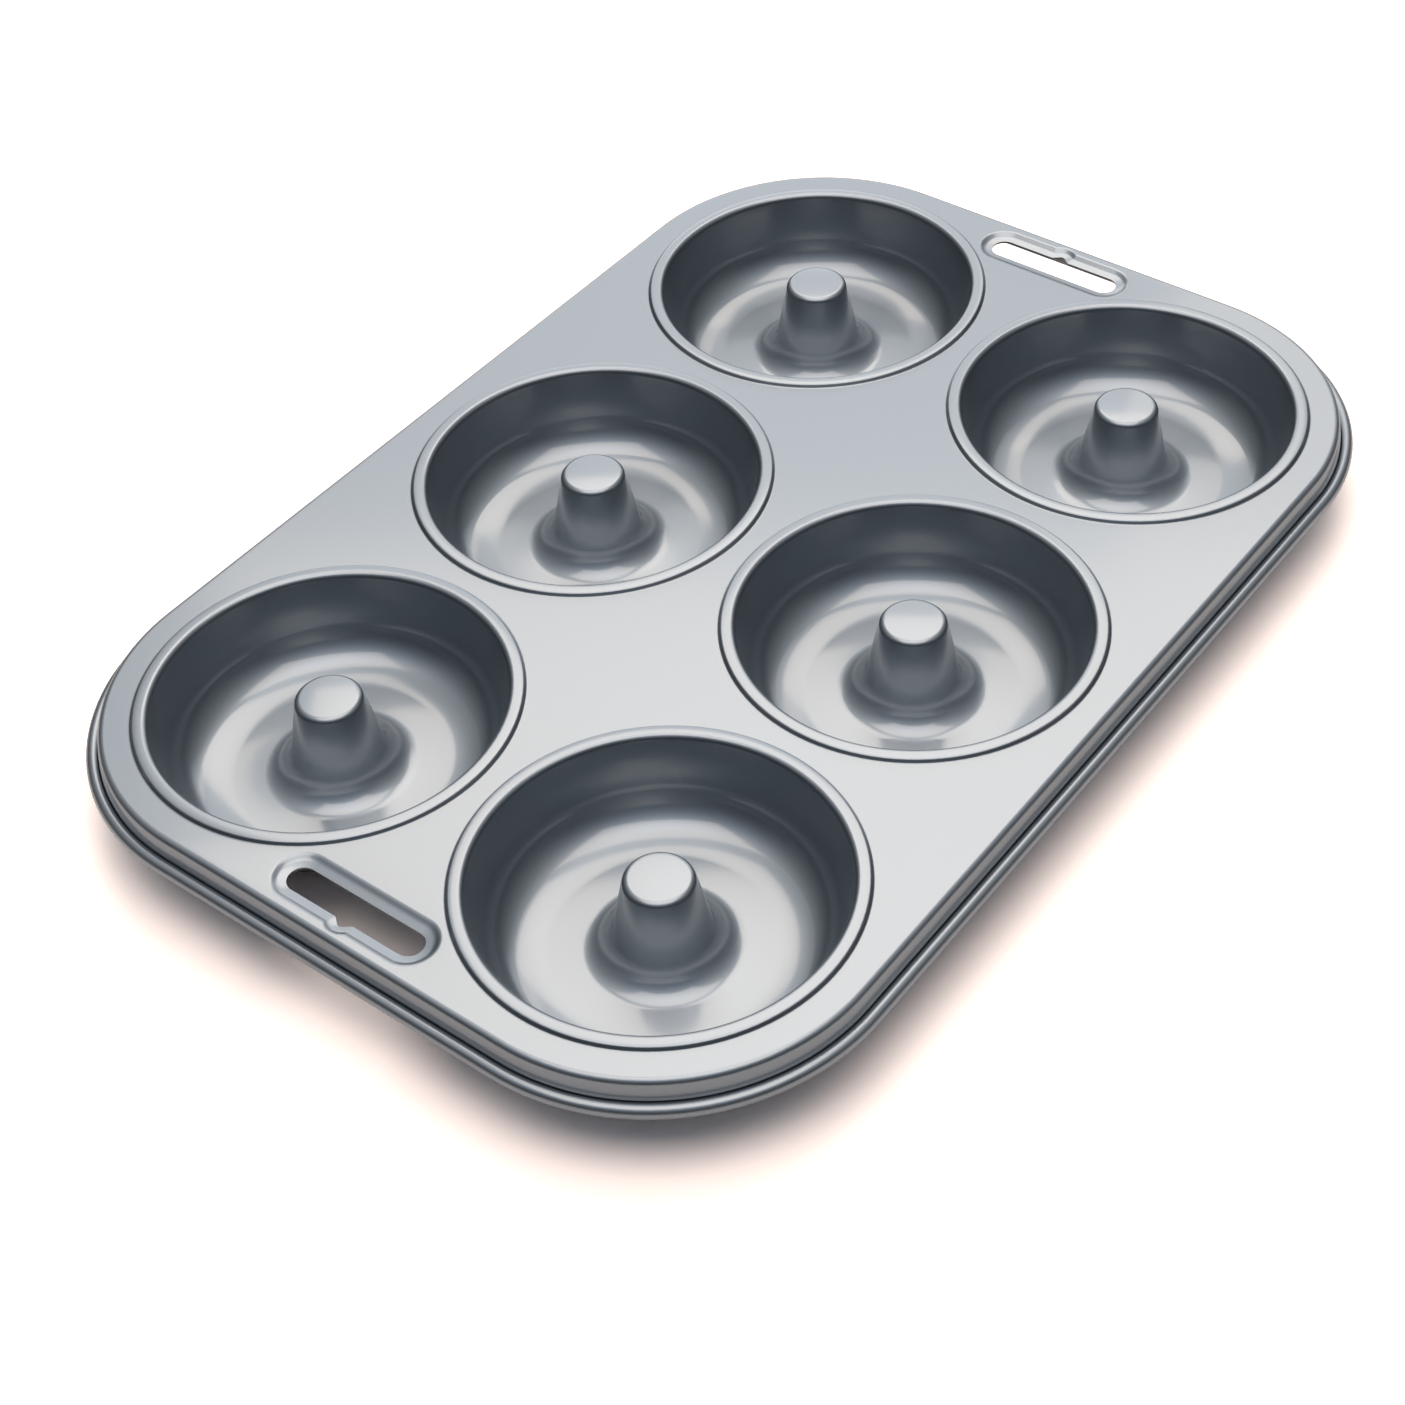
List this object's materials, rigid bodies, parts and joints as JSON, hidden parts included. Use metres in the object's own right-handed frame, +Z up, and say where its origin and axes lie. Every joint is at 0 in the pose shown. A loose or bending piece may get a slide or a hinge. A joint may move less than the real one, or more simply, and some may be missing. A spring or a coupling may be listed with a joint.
{
  "type": "doughnut pan",
  "caption": "Pressed steel baking pan with ring-shaped moulds in a flat plate, a skirt with a rolled rim and a notched hanging slot at each short end.",
  "frame": {"origin": "middle of the plate in plan, on the surface that the moulds stand on", "axes": "+X across the pan, +Y along it from one hanging slot to the other, +Z up out of the moulds"},
  "size_m": [0.1984, 0.2894, 0.0219],
  "materials": {
    "coated_steel": "silver-grey metallic non-stick coating, satin to glossy, with a very fine orange peel"
  },
  "bodies": {
    "root": {"doughnut_pan": "coated_steel"}
  },
  "joints": []
}
